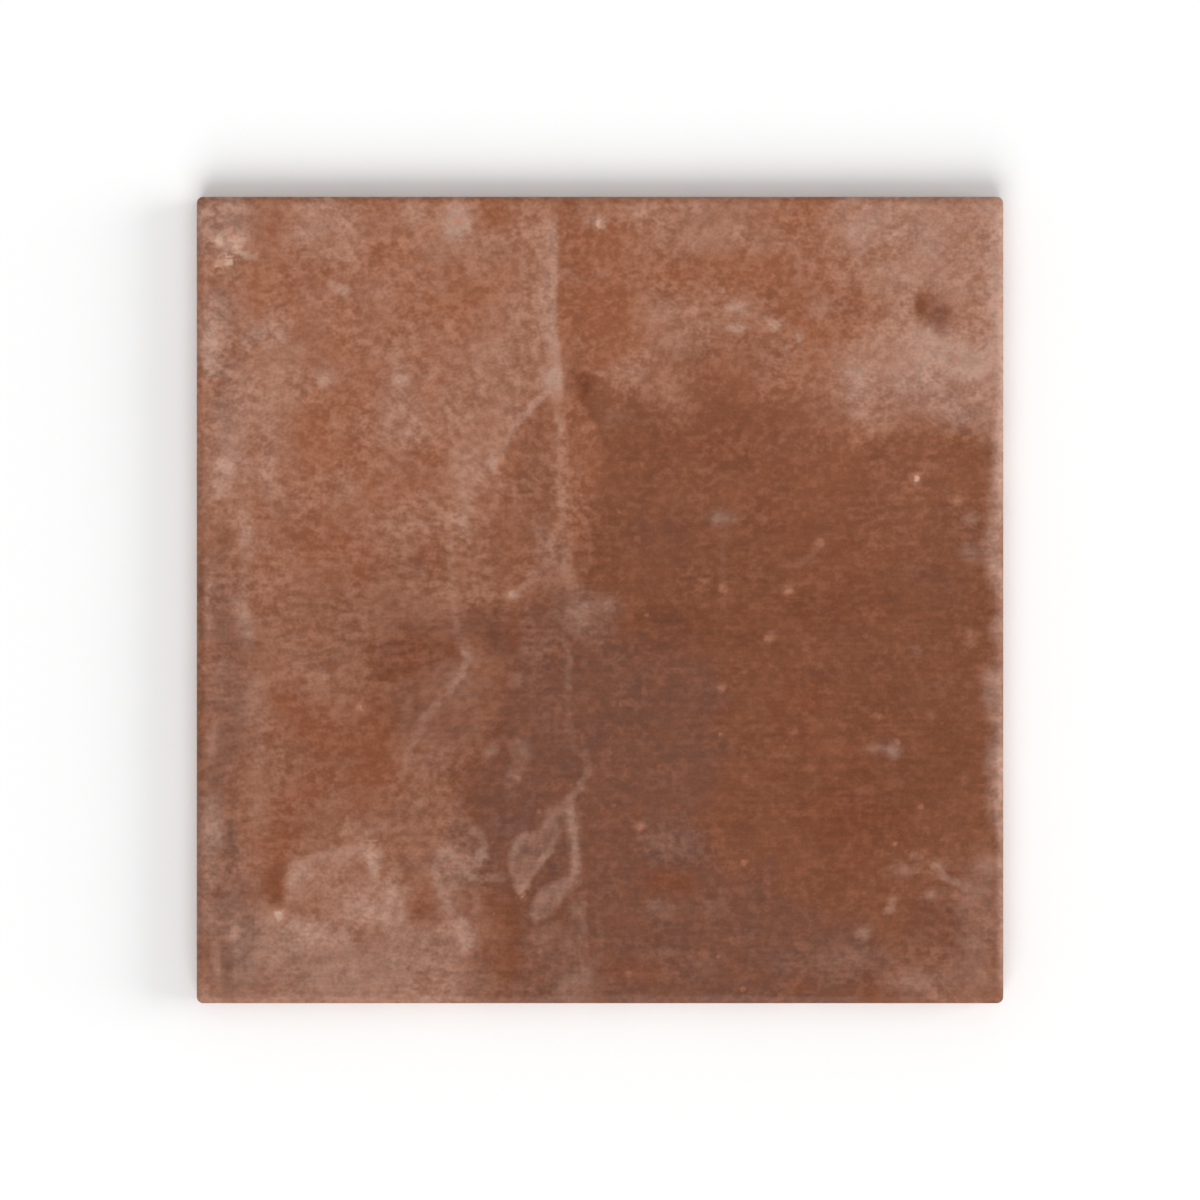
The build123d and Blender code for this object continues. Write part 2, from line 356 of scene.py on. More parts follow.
PALE_AND_RIM_HIGHLIGHT_PATCHES = [
    (-94, 94, 9, 12, 0.5), (-91, 89.6, 6, 3, 0.4), (-94, 84, 3, 1.8, 0.3), (-90, 86.6, 5, 2.4, 0.2),
    (-96, 68, 5, 11, 0.6), (-97, 61, 3, 9, 0.5), (-94, 40, 5, 12, 0.32), (-94, 32, 3, 6, 0.5),
    (-88, 50, 4, 13, 0.2), (-82, 66, 6, 4, 0.3), (-84, 65, 6, 5, 0.05), (-76, 62, 4, 2.4, 0.15),
    (-66, 95, 10, 7, 0.3), (-75, 90, 5, 2.5, 0.35), (-36, 94, 5, 6, 0.7), (-46, 96, 5, 5, 0.3),
    (-34, 88, 16, 5, 0.22), (-65, 87, 12, 6, 0.2), (-64, 77, 4, 2, 0.45), (-49, 55, 3, 4, 0.4),
    (-69, 55, 3, 3, 0.35), (-80, 55, 8, 10, 0.2), (-48, 44, 8, 9, 0.2), (-83, 40, 6, 10, 0.15),
    (-83, 30, 5, 6, 0.25), (-66, 27, 6, 5, 0.15), (-45, 20, 10, 5, 0.12), (-12.6, 76, 2.2, 22, 0.26),
    (-12, 54.5, 3.4, 5, 0.42), (-31, 34, 6, 6, 0.25), (-32.5, 25, 3, 8, 0.4), (-27, 35, 2, 3, 0.4),
    (-34, 17, 2, 3, 0.35), (0, 93.6, 3.4, 2.6, 0.7), (-2, 98, 5, 3, 0.15), (24, 94, 14, 7, 0.18),
    (12, 96, 6, 5, 0.25), (38, 89, 14, 5, 0.08), (17, 72, 8, 4, 0.15), (29, 70, 8, 4, 0.15),
    (33.4, 67.4, 3, 2, 0.45), (33.6, 73, 2.2, 1.8, 0.45), (43, 68.4, 3, 2, 0.4), (54, 73, 4, 4, 0.25),
    (10, 57, 7, 3.4, 0.05), (20, 64, 8, 7, 0.1), (-57, 70, 18, 11, 0.08), (-52, 76, 9, 6, 0.08),
    (18, 49, 6, 4, 0.08), (4, 45, 4, 4, 0.15), (88, 59, 9, 8, 0.42), (95, 58, 6, 11, 0.24),
    (77, 56, 11, 5, 0.22), (64, 54, 5, 6, 0.25), (67, 46, 6, 5, 0.1), (89, 47, 7, 4, 0.1),
    # Narrow patches at x 97 to 99.5 in this table are painted highlight on the right eased edge, where the
    # light from the right falls; the others are print.
    (64, 89, 4, 6, 0.35), (75, 92, 11, 8, 0.04), (96, 90, 6, 15, 0.12), (98, 72, 3, 16, 0.35),
    (78, 65, 8, 3, 0.25), (-56, -64, 2.4, 6, 0.5), (-50, -74, 5, 8, 0.3), (-79.4, -78, 2.6, 2.2, 0.8),
    (-74, -67.5, 4, 3, 0.3), (-72, -83, 10, 4, 0.25), (-34, -82, 4, 5, 0.25), (-20, -97, 7, 4, 0.1),
    (-58, -78, 10, 4, 0.2), (-29.6, -64.2, 1.8, 1.6, 0.4), (-38, -65, 4, 5, 0.25),
    (-37, -73, 4, 5, 0.3), (-34, -84, 3, 5, 0.25), (-4, -4, 8, 7, 0.34), (3, -2, 5, 4, 0.14),
    (-13, 13, 4, 6, 0.12), (-15, 18, 3, 4, 0.15), (-21.4, 1.4, 2.4, 1.5, 0.6), (-19, -37, 3.4, 5, 0.24),
    (-22, -43, 3.4, 4.4, 0.24), (-27, -37.6, 2.6, 2.2, 0.5), (-16, -13, 5, 6, 0.14),
    (-21, -20, 3, 3, 0.2), (17, -60, 9, 6, 0.13), (28, -75, 5, 4, 0.06), (-8, -83.6, 2.6, 5, 0.2),
    (-9, -89, 11, 8, 0.12), (22, -90, 14, 7, 0.06), (-12, -30, 6, 10, 0.06), (-14, -82, 5, 4, 0.1),
    (50, -90, 30, 7, 0.05), (78, -84, 9, 8, 0.08), (62, -87, 12, 8, 0.07), (-6, -77, 1.6, 3, 0.2),
    (82, -73.4, 2.2, 1.4, 0.4), (15, -77, 5, 3, 0.18), (65.6, -82.4, 3.6, 1.9, 0.4),
    (75, -67, 6, 2.4, 0.25), (30, 20, 5, 2.6, 0.35), (92, 20, 3, 2.4, 0.3), (93, 12, 4, 3, 0.3),
    (98, 14, 2.6, 10, 0.12), (79, -13, 2.4, 2.4, 0.3), (68, -36, 4, 1.6, 0.3), (73, -37, 2, 3, 0.4),
    (98.5, -44, 3.4, 14, 0.6), (97.4, -22, 3.4, 9, 0.45), (98.4, -30, 3, 6, 0.3),
    (98.4, 5, 2.6, 6, 0.4), (-93, 58, 4, 6, 0.22), (98.4, -7, 2.6, 5, 0.5), (98, 92, 4, 8, 0.25),
    (98, 38, 2.6, 8, 0.25), (-97, -67, 4, 6, 0.35), (96, -78, 8, 16, 0.24), (84, -66, 3.4, 3, 0.25),
    (89, -73, 6, 5, 0.2), (90, -94, 14, 7, 0.35), (75, -95, 8, 4, 0.25), (96, -66, 5, 4, 0.18),
    # The long faint strip at y -99 is painted light on the bottom eased edge, lifting its shade.
    (10, -99, 44, 2.2, 0.04), (-6, -96, 8, 5, 0.25), (-88, -3, 2.6, 12, 0.2), (-88, 20, 2.6, 8, 0.25),
    (-97, -54, 4, 9, 0.26), (-88, 64, 5, 14, 0.1), (-90, 30, 4, 18, 0.12), (-86, -30, 3, 14, 0.08),
    (-84, -24, 2.6, 10, 0.1), (-85, -50, 3, 10, 0.15), (-97, 5, 1.4, 6, 0.2), (-97, -3, 1.4, 8, 0.18),
    (-88.2, -4, 2.2, 8, 0.12), (-88, 12, 2.4, 8, 0.2), (-96.4, -34, 1.6, 7, 0.2),
    (-97, -56, 2.6, 8, 0.12), (-95.6, -90, 1.4, 8, 0.3), (-90, -84, 1.6, 8, 0.25),
    # Long strips of painted highlight along the right eased edge.
    (99, 50, 2.6, 60, 0.5), (99.5, -60, 1.8, 60, 0.35), (98, 20, 3, 24, 0.3),
]
PALE_GAPS = [
    (79.8, 72.8, 2.8, 4.2, 0.4), (83.6, 69.6, 4.6, 5.4, 0.26), (-34, -84, 6, 10, 0.1),
    (-96, -68, 4, 8, 0.15), (-97, -90, 5, 9, 0.2), (-94, -86, 8, 12, 0.2), (-80, -70, 4, 7, 0.15),
    (-58, -85, 4, 4, 0.05), (-40, -46, 9, 10, 0.06), (-72, -76, 5, 3, 0.1), (-84, -95, 6, 4, 0.12),
    (70, 46, 10, 5, 0.1), (-90, -12, 6, 6, 0.05), (66, 75, 6, 6, 0.1),
]
ASH_PATCHES = [
    (-94, 94, 11, 12, 0.6), (-96, 70, 5, 12, 0.25), (-95, 45, 5, 14, 0.3), (-83, 66, 5, 4, 0.3),
    (-95, 0, 7, 22, 0.3), (-94, -30, 7, 24, 0.45), (-95, 74, 5, 6, 0.4), (-98, 30, 4, 12, 0.4),
    (-97, -56, 5, 12, 0.9), (78, -80, 8, 8, 0.25), (-92, -78, 10, 18, 0.7), (-64, -88, 36, 12, 0.45),
    (-90, 60, 7, 26, 0.4), (-36, -76, 8, 14, 0.4), (-80, -92, 18, 10, 0.2), (84.4, 70, 4.6, 5.8, 0.55),
    (15, 73, 5, 5, 0.15), (22, 60, 10, 8, 0.15), (42, 60, 6, 5, 0.15), (75, 92, 14, 8, 0.2),
    (80, 52, 16, 6, 0.3), (92, 46, 8, 5, 0.45), (-13, 12, 6, 9, 0.5), (-18, 28, 7, 8, 0.25),
    (-30, 52, 12, 10, 0.1), (14, 14, 14, 14, 0.3), (85, 8, 12, 20, 0.22), (60, -16, 22, 6, 0.12),
    (84, -22, 12, 6, 0.2), (30, 20, 5, 3, 0.5), (94, 14, 5, 8, 0.4), (72, -36, 5, 3, 0.6),
    (90, -76, 12, 16, 0.35), (80, -92, 14, 10, 0.4), (98, -35, 4, 22, 0.5), (-34, -18, 4, 6, 0.4),
    (-40, -42, 10, 16, 0.2), (-62, -8, 26, 10, 0.18), (-38, 8, 10, 12, 0.1), (42, -67, 5, 4, 0.5),
    (35, -60, 6, 6, 0.2), (-88, -4, 3, 12, 0.3), (17, -60, 9, 6, 0.2), (-75, 24, 10, 5, 0.12),
]

# Pale lines in the print: strength at the start and at the end, and the points between
LINES = [
    (0.9, 0.9, [(-11.8, 95), (-11.5, 75), (-10.8, 56), (-10.6, 51)]),
    (0.55, 0.3, [(-10.4, 50), (-10.4, 40), (-9.8, 25), (-9, 10), (-8.4, 4)]),
    (0.2, 0.38, [(-9, -9), (-8.2, -14), (-8, -23)]),
    (0.3, 0.2, [(-8, -23), (-8, -30), (-6.4, -37)]),
    (0.25, 0.5, [(-3.6, -36), (-3.4, -43), (-5.6, -47), (-9.5, -50)]),
    (0.3, 0.2, [(-4.6, -72), (-4.2, -84), (-3.0, -98)]),
    (0.25, 0.3, [(-37, 18), (-37.4, 8), (-36.6, -3), (-34, -11)]),
    (0.7, 0.8, [(-34.4, -10), (-32.6, -14), (-34, -18), (-38.6, -24)]),
    (0.55, 0.3, [(-38.5, -23), (-43, -29), (-47, -37), (-50, -46)]),
    (0.7, 0.3, [(-23, 0.6), (-20, 2.4), (-17, 5.4), (-15, 10)]),
    (0.9, 0.7, [(-13, 52), (-18, 47), (-23, 41), (-25, 34)]),
    (0.6, 0.5, [(-77, -65.2), (-72, -63.8), (-67, -62.2), (-62, -61.4)]),
    (0.8, 0.6, [(-60, -60), (-57.4, -61.4), (-56.4, -65), (-55.4, -69)]),
    (0.5, 0.5, [(-61, -60.4), (-55, -57)]),
    (0.6, 0.7, [(-41, -63.4), (-38, -62.4), (-35.4, -64.4), (-33.6, -67), (-31.4, -69.6)]),
    (0.4, 0.3, [(-31, -69.4), (-27, -68.4), (-23, -69.2)]),
    (0.5, 0.4, [(-41, -64), (-40.6, -70), (-39, -74), (-36.4, -78.6)]),
    (0.8, 0.9, [(-36, -79), (-33.6, -83), (-33, -87)]),
    (0.4, 0.6, [(-33, -56.6), (-30, -58), (-28.4, -61), (-29.2, -64.6)]),
    (0.9, 0.5, [(-29.2, -64.6), (-31.6, -65), (-34.6, -63.6)]),
    (0.4, 0.3, [(-31.4, -71), (-31, -75), (-32, -78.6)]),
    (0.9, 0.8, [(-9, -50.6), (-7.4, -52.6), (-6.8, -56), (-6.2, -62), (-6, -66), (-6.8, -69.4), (-9, -70.6)]),
    (1.0, 0.5, [(-21.8, -69.6), (-20, -72.2), (-17.6, -69.4), (-15, -65.6), (-11.4, -61)]),
    (0.5, 0.3, [(-22.2, -69), (-22.4, -63), (-20.6, -59.8), (-16.6, -58.6)]),
    (1.6, 1.5, [(-95.4, 87.8), (-93.4, 90.8), (-90.6, 91.8)]),
    (1.5, 1.1, [(-93, 89.6), (-90.4, 89.4), (-87.6, 88.2)]),
    (1.4, 1.0, [(-92, 87.6), (-89.4, 86.2), (-84.6, 84.8)]),
    (2.2, 2.2, [(-96, 83.8), (-91, 83.8)]),
    (1.0, 1.0, [(-99, 97), (-95.6, 97)]),
    (0.9, 0.9, [(31, 67.6), (34, 67), (36, 68.4)]),
    (0.9, 0.9, [(30.4, 71.4), (33, 73.4), (35, 73)]),
    (0.9, 0.9, [(40, 70.4), (44.4, 67.6)]),
    (1.3, 1.0, [(48.6, 66.2), (49.6, 64)]),
    (1.5, 1.5, [(-0.6, 95), (0.8, 92)]),
    (0.7, 0.4, [(-97, 73), (-96.6, 66), (-97, 58)]),
    (0.6, 0.6, [(-67.4, 79), (-64.6, 77), (-62, 75.4)]),
    (0.4, 0.4, [(-79, 69), (-79, 64), (-83, 61.4)]),
    (0.5, 0.5, [(-69, 55.6), (-68.6, 52.6)]),
    (0.5, 0.4, [(77, -62.4), (80, -64.4)]),
    (0.6, 0.5, [(82, -64.6), (85, -68.6), (90, -71), (95, -73)]),
    (0.9, 0.7, [(83, -95.4), (82.4, -99)]),
    (0.55, 0.6, [(72.4, -73.4), (72.6, -76), (70.4, -77.8)]),
    (0.2, 0.15, [(30.4, 17), (30.4, 3)]),
    (0.25, 0.2, [(48, 8), (52, 11), (55, 15)]),
]

# Specks in the print: x, y, radius and strength
SPECKS = [
    (78.6, 30.2, 1.7, 1.0), (89, 24.6, 1.4, 0.75), (54.4, 14, 1.5, 0.6), (46.8, 2.6, 1.5, 0.7),
    (30.6, 3, 1.3, 0.6), (25.4, 4.6, 1.2, 0.5), (42, -9.2, 1.3, 0.6), (-59, -26.4, 1.5, 0.8),
    (30, -22, 1.2, 0.5), (9.6, -56, 1.5, 0.7), (92, -9.6, 2.3, 0.5), (68.6, -28.4, 1.3, 0.45),
    (49.2, 65, 1.5, 0.5), (7, -92.6, 1.6, 0.4), (61.6, -61.6, 1.3, 0.3), (-91.6, 90.6, 1.6, 0.6),
    (-94.4, 84, 1.6, 0.8), (-88, 88, 1.2, 0.4), (-35.4, 94, 1.6, 0.5), (0.6, 93, 1.4, 0.6),
    (82.4, -97, 1.6, 0.5), (92.6, -76, 1.4, 0.4), (88, -73, 1.2, 0.35), (-77, 89.6, 1.3, 0.4),
    (82, -28.6, 1.4, 0.25), (47.6, -32.6, 1.3, 0.25), (-79.4, -78, 2.2, 1.0), (-66, -66, 1.4, 0.3),
    (86, -91, 1.4, 0.3), (95, -93, 1.5, 0.3), (60, 5, 0.9, 0.2), (36, -44, 1.0, 0.2),
]


class FiredPrint:
    """The print's drawn areas and mottling at given places, with painted rim shade and highlight, and the
    shares of colour they make.
    """

    def __init__(self, x, y):
        self.x = x
        self.y = y
        self.wide = stray_places(x, y, *WIDE_STRAY)
        self.small = stray_places(x, y, *SMALL_STRAY)
        self.tiny = stray_places(x, y, *TINY_STRAY)
        self.mottle = layered(x, y, *MOTTLE)
        self.clouds = layered(x, y, *CLOUDS)
        self.zone = self.brown_zone()
        self.outside = 1.0 - self.zone
        self.strip = inside(*self.tiny, STRIP, soft=0.7)
        self.leaf = inside(*self.tiny, LEAF_ZONE, soft=0.9)
        self.mark = inside(*self.tiny, DARK_MARK, soft=1.1)
        self.rust = self.patches(RUST_PATCHES)

    def patches(self, patches):
        return add_patches(self.wide, self.small, patches)

    def mottling(self, fine, slow=0.0):
        return fine * self.mottle + slow * self.clouds

    def brown_zone(self):
        """Share inside the brown area, whose crisp edge softens at the left and at the top."""
        at_left = smooth(-4.0, -20.0, self.x)
        at_top = smooth(30.0, 44.0, self.y) * smooth(4.0, 16.0, self.x)
        at_right = smooth(57.0, 64.0, self.x)
        edge_x, edge_y = (near + (far - near) * at_top for near, far in zip(self.small, self.wide))
        edge_width = 1.0 + 4.6 * at_left + at_top * (7.0 - 4.6 * at_right)
        return inside(edge_x, edge_y, BROWN_ZONE, soft=edge_width)

    def warm(self):
        """Share of the warm tone, which is the rusty one inside the brown area."""
        ground = 0.05 + self.mottling(fine=0.22)
        in_zone = self.rust * self.zone
        return self.patches(WARM_PATCHES) * self.outside + in_zone + 0.7 * self.strip + ground

    def brown(self):
        """Share of the brown tone, which also deepens down the left part and holds painted shade along the
        left rim.
        """
        down_left = 0.50 * smooth(45.0, -25.0, self.y) * smooth(40.0, 0.0, self.x)
        in_strip = 0.26 * self.strip * smooth(64.0, 50.0, self.y)
        beside_line = 0.12 * inside(*self.small, BESIDE_LINE_ZONE, soft=1.4)
        in_zone = 0.88 - 0.09 * smooth(5.0, 20.0, self.y)
        share = (down_left + in_strip + beside_line + 0.2 * self.leaf) * self.outside
        share += in_zone * self.zone + 0.22 * self.mark
        return share + self.patches(DEPTH_AND_RIM_SHADE_PATCHES) + self.mottling(fine=0.07, slow=0.05)

    def ash(self):
        """Share of the grey-brown tone, which the rusty patches push back."""
        in_zone = 0.68 * inside(*self.wide, ASH_ZONE, soft=5.0)
        left_by_rust = 1.0 - 0.8 * np.clip(self.rust, 0.0, 1.0)
        return in_zone * left_by_rust + self.patches(ASH_PATCHES) + self.mottling(fine=0.15, slow=0.12)

    def pale(self, warm):
        """Share of the pale tone, with the sandy veil that the warm tone hides, and painted highlight along
        the right and bottom rims.
        """
        strength = 0.14 + 0.18 * smooth(38.0, 60.0, self.y)
        top_right = strength * inside(*self.wide, TOP_RIGHT_ZONE, soft=4.0)
        edge_width = 1.0 + 6.0 * smooth(-79.0, -87.0, self.x) + 3.0 * smooth(-42.0, -35.0, self.x)
        lower_left = 0.26 * inside(*self.small, LOWER_LEFT_ZONE, soft=edge_width)
        vein_side = 0.15 * inside(*self.tiny, VEIN_SIDE_ZONE, soft=1.2)
        loop_left = 0.22 * inside(*self.tiny, LOOP_LEFT, soft=0.9)
        loop_foot = 0.30 * inside(*self.tiny, LOOP_FOOT, soft=0.9)
        patches = self.patches(PALE_AND_RIM_HIGHLIGHT_PATCHES) * (1.0 + 0.6 * self.mottle)
        mottling = self.mottling(fine=0.10, slow=0.03) * (1.0 - 0.7 * self.zone)
        veil = 0.20 * (1.0 - 0.8 * np.clip(warm, 0.0, 1.0)) * self.outside * (1.0 - 0.5 * self.leaf)
        gaps = self.patches(PALE_GAPS) + 0.16 * self.mark
        areas = top_right + lower_left + vein_side + loop_left + loop_foot
        return areas + patches + mottling + veil - gaps


def print_zones(x, y):
    """Share of warm, brown, ash and pale in the print at each place, brown with painted rim shade and pale
    with painted rim highlight.
    """
    fired = FiredPrint(x, y)
    warm = fired.warm()
    shares = (warm, fired.brown(), fired.ash(), fired.pale(warm))
    return [np.clip(share, 0.0, most_share) for share in shares]


def print_marks(x, y):
    """Signed distance to the pale lines, their strength, and the share of speck at each place."""
    line, strength = line_field(*stray_places(x, y, *TINY_STRAY), LINES)
    speck_x = x + speck_stray * uneven(x, y, speck_stray_size, speck_seed)
    speck_y = y + speck_stray * uneven(x, y, speck_stray_size, speck_seed + 1)
    speck = np.zeros(x.shape)
    for place_x, place_y, radius, share in SPECKS:
        away = np.hypot(speck_x - place_x, speck_y - place_y) / radius
        speck = np.maximum(speck, share * np.exp(-speck_falloff * away ** 3))
    return line, strength, speck


# The surface, in numpy

def edge_wave(side, place, half_run):
    """How far the face line strays inwards at a place along one side, from its middle."""
    nearness = np.clip((half_run - abs(place)) / wave_fade, 0.0, 1.0)
    fade = nearness ** 2 * (3.0 - 2.0 * nearness)
    stray = sum(
        height * np.sin(math.tau * place / length + golden_turn * (3 * side + term))
        for term, (length, height) in enumerate(zip(wave_lengths, wave_heights))
    )
    return fade * stray


def bent_square(across, up, round_corner, cut_corner=0.0):
    """Places on square rings moved onto rings with round or flat-cut corners."""
    ring = np.maximum(abs(across), abs(up))
    other = np.minimum(abs(across), abs(up))
    size = round_corner + cut_corner
    past = np.clip(other - (ring - size), 0.0, None)
    angle = math.pi / 4 * np.divide(past, size, out=np.zeros_like(past), where=size > 0)
    round_ring = ring - size + size * np.cos(angle)
    round_other = ring - size + size * np.sin(angle)
    flat_ring, flat_other = ring - past / 2, ring - size + past / 2
    is_cut = cut_corner > 0
    new_ring = np.where(past > 0, np.where(is_cut, flat_ring, round_ring), ring)
    new_other = np.where(past > 0, np.where(is_cut, flat_other, round_other), other)
    wide = abs(across) >= abs(up)
    new_across = np.where(wide, new_ring, new_other) * np.sign(across)
    new_up = np.where(wide, new_other, new_ring) * np.sign(up)
    return new_across, new_up


def face_corner_size(inset):
    """Corner radius of the face's rings: it grows over the eased edge and fades inside."""
    growing = wall_corner + (face_corner - wall_corner) * inset / ease_width
    fading = face_corner * (1.0 - smooth(ease_width, corner_fade, inset))
    return np.where(inset < ease_width, growing, fading)


def eased_height(inset, side, place, corner):
    """Height of the face or of its eased edge, at an inset from one side."""
    half_run = half_side - inset - corner
    width = ease_width + edge_wave(side, place, half_run)
    share = np.clip(inset / width, 0.0, 1.0)
    rise = 1.0 - share * (1.0 - math.cos(ease_turn))
    return land_top + ease_drop * np.sqrt(1.0 - rise ** 2) / math.sin(ease_turn)


def side_and_place(x, y):
    """Nearest side, counted as in the solid, and the distance along it from its middle."""
    sides = np.stack([-y, x, y, -x])
    places = np.stack([x, y, -x, -y])
    side = sides.argmax(axis=0)
    return side, np.take_along_axis(places, side[None], 0)[0]


def face_grid():
    """The face and its eased edge, as a grid whose rings follow the tile's outline."""
    edge = np.array(face_edge_insets)
    inner = np.linspace(-half_side + edge[-1], half_side - edge[-1], face_cells - 2 * len(edge) + 3)
    columns = np.concatenate([-half_side + edge[:-1], inner, half_side - edge[:-1][::-1]])
    across, up = np.meshgrid(columns, columns, indexing="ij")
    inset = half_side - np.maximum(abs(across), abs(up))
    corner = face_corner_size(inset)
    side, place = side_and_place(across, up)
    height = eased_height(inset, side, place, corner)
    x, y = bent_square(across, up, corner)
    return x, y, height, inset


def pits(x, y):
    """Depth of the small round pits in the face."""
    chance = np.random.default_rng(pit_seed)
    reach = half_side - pit_margin
    depth = np.zeros(x.shape)
    for _ in range(pit_count):
        place = chance.uniform(-reach, reach, 2)
        radius = chance.uniform(*pit_radii)
        deepest = chance.uniform(*pit_depths)
        away = ((x - place[0]) ** 2 + (y - place[1]) ** 2) / radius ** 2
        depth += deepest * np.exp(-away)
    return depth


def face_relief(x, y, inset):
    """How far the pressed face dips below its plane."""
    waves = [
        height * layered(x, y, size, undulation_seed + n, 2)
        for n, (size, height) in enumerate(undulations)
    ]
    dip = sum(height for _, height in undulations) - sum(waves)
    return dip * smooth(*undulation_start, inset) + pits(x, y)


def rim_nicks(x, y, inset):
    """Depth of the small knocks along the arris, for the face and its eased edge."""
    chance = np.random.default_rng(nick_seed)
    depth = np.zeros(x.shape)
    side, place = side_and_place(x, y)
    for _ in range(nick_count):
        nick_side = chance.integers(4)
        nick_place = chance.uniform(-nick_spread, nick_spread) * half_side
        length = chance.uniform(*nick_lengths)
        reach = chance.uniform(*nick_reaches)
        deepest = chance.uniform(*nick_depths)
        along = np.exp(-(((place - nick_place) / length) ** 2))
        inward = np.exp(-(((inset - nick_inset) / reach) ** 2))
        depth += np.where(side == nick_side, deepest * along * inward, 0.0)
    return depth


def ring_places(columns, corner):
    """Places once round a square ring with round corners, anticlockwise."""
    half = columns[-1]
    low = np.full(len(columns) - 1, -half)
    across = np.concatenate([columns[:-1], -low, columns[:0:-1], low])
    up = np.concatenate([low, columns[:-1], -low, columns[:0:-1]])
    return bent_square(across, up, np.full(across.shape, corner))


def wall_ring(columns, level):
    """Places once round the wall at this level, bevelled near the back and slightly gritty."""
    inset = bevel_width * max(0.0, 1.0 - level / bevel_height)
    x, y = ring_places(columns * (1.0 - inset / half_side), wall_corner)
    shifted = (x + grit_shift_x * level, y + grit_shift_y * level)
    grit = wall_grit * (1.0 + layered(*shifted, wall_grit_size, wall_grit_seed, 2))
    shrink = 1.0 - grit / half_side
    return x * shrink, y * shrink, np.full(len(x), level)


def flank_profile():
    """Insets from the middle of a rib at which a pocket's flank bends, and the depths there."""
    mouth = rib_width / 2
    floor = mouth + pocket_flank
    insets = (mouth - rounding_width, mouth + rim_inset, floor - foot_inset, floor + rounding_width)
    depths = (0.0, rim_drop, pocket_depth - foot_rise, pocket_depth)
    return insets, depths


def back_columns():
    """Grid lines of the back: border, then rings of each pocket from rib to floor."""
    field = half_side - bevel_width - border_width + rib_width / 2
    pitch = 2 * field / pocket_rows
    rings = (0.0, *flank_profile()[0], rib_width / 2 + pocket_cut + cut_margin)
    cell = np.array(rings + (pitch / 2,) + tuple(pitch - ring for ring in rings[:0:-1]))
    outer = np.linspace(-half_side + bevel_width, -field, border_cells + 1)[:-1]
    pockets = [cell - field + pitch * n for n in range(pocket_rows)]
    return np.concatenate([outer, *pockets, [field], -outer[::-1]]), field, pitch


def pocket_places(across, up, field, pitch):
    """Places moved onto the cut-cornered rings of their pocket, and how deep they lie."""
    middle_x = (np.floor((across + field) / pitch) + 0.5) * pitch - field
    middle_y = (np.floor((up + field) / pitch) + 0.5) * pitch - field
    local_x, local_y = across - middle_x, up - middle_y
    ring = np.maximum(abs(local_x), abs(local_y))
    inset = pitch / 2 - ring
    insets, depths = flank_profile()
    near_flank = inset < rib_width / 2 + 2 * pocket_cut
    cut = pocket_cut * smooth(0.0, insets[0], inset) * near_flank
    bent_x, bent_y = bent_square(local_x, local_y, np.zeros_like(ring), cut)
    return middle_x + bent_x, middle_y + bent_y, np.interp(inset, insets, depths)


def back_grid():
    """The ribbed back, with every pocket's rings following its cut corners."""
    hair = 1e-6
    columns, field, pitch = back_columns()
    across, up = np.meshgrid(columns, columns, indexing="ij")
    in_field = (abs(across) < field - hair) & (abs(up) < field - hair)
    pocket_x, pocket_y, depth = pocket_places(across, up, field, pitch)
    outline = half_side - bevel_width - np.maximum(abs(across), abs(up))
    corner = wall_corner * (1.0 - smooth(0.0, border_width, outline))
    round_x, round_y = bent_square(across, up, corner)
    x = np.where(in_field, pocket_x, round_x)
    y = np.where(in_field, pocket_y, round_y)
    return x, y, np.where(in_field, depth, 0.0)


def grid_faces(first, rows, columns, flip):
    """Quads of a grid of vertices numbered along its columns."""
    index = first + np.arange(rows * columns).reshape(rows, columns)
    quads = np.stack([index[:-1, :-1], index[1:, :-1], index[1:, 1:], index[:-1, 1:]], -1).reshape(-1, 4)
    return quads[:, ::-1] if flip else quads


def rim_indices(first, count):
    """Vertex numbers once round a square grid, anticlockwise from its lowest corner."""
    index = first + np.arange(count * count).reshape(count, count)
    return np.concatenate([index[:-1, 0], index[-1, :-1], index[:0:-1, -1], index[0, :0:-1]])


def stitch(upper, lower):
    """Triangles between two closed loops of different counts that start at one corner."""
    faces = []
    high, low = 0, 0
    while high < len(upper) or low < len(lower):
        step_high = low >= len(lower) or (
            high < len(upper) and (high + 0.5) / len(upper) <= (low + 0.5) / len(lower)
        )
        a, b = upper[high % len(upper)], lower[low % len(lower)]
        if step_high:
            high += 1
            faces.append((a, b, upper[high % len(upper)]))
        else:
            low += 1
            faces.append((a, b, lower[low % len(lower)]))
    return faces


def as_points(x, y, z):
    return np.stack([x.ravel(), y.ravel(), z.ravel()], 1)


def tile_surface():
    """Vertices and faces of the whole tile: face, rings of the wall and ribbed back."""
    x, y, height, inset = face_grid()
    relief = face_relief(x, y, inset) * smooth(0.0, relief_start, inset)
    height = height - relief - rim_nicks(x, y, inset)
    count = len(x)
    columns = np.sort(x[:, count // 2])
    parts = [as_points(x, y, height)]
    faces = [grid_faces(0, count, count, flip=False)]
    loop = rim_indices(0, count)
    total = count * count
    for level in wall_levels:
        parts.append(as_points(*wall_ring(columns, level)))
        ring = total + np.arange(len(loop))
        faces.append(np.stack([loop, ring, np.roll(ring, -1), np.roll(loop, -1)], 1))
        loop = ring
        total += len(ring)
    back = back_grid()
    back_count = len(back[0])
    parts.append(as_points(*back))
    faces.append(grid_faces(total, back_count, back_count, flip=True))
    faces.append(stitch(loop, rim_indices(total, back_count)))
    return np.concatenate(parts), [tuple(map(int, face)) for group in faces for face in group]


ATTRIBUTE_KEYS = {"FLOAT": "value", "FLOAT_VECTOR": "vector", "FLOAT_COLOR": "color"}


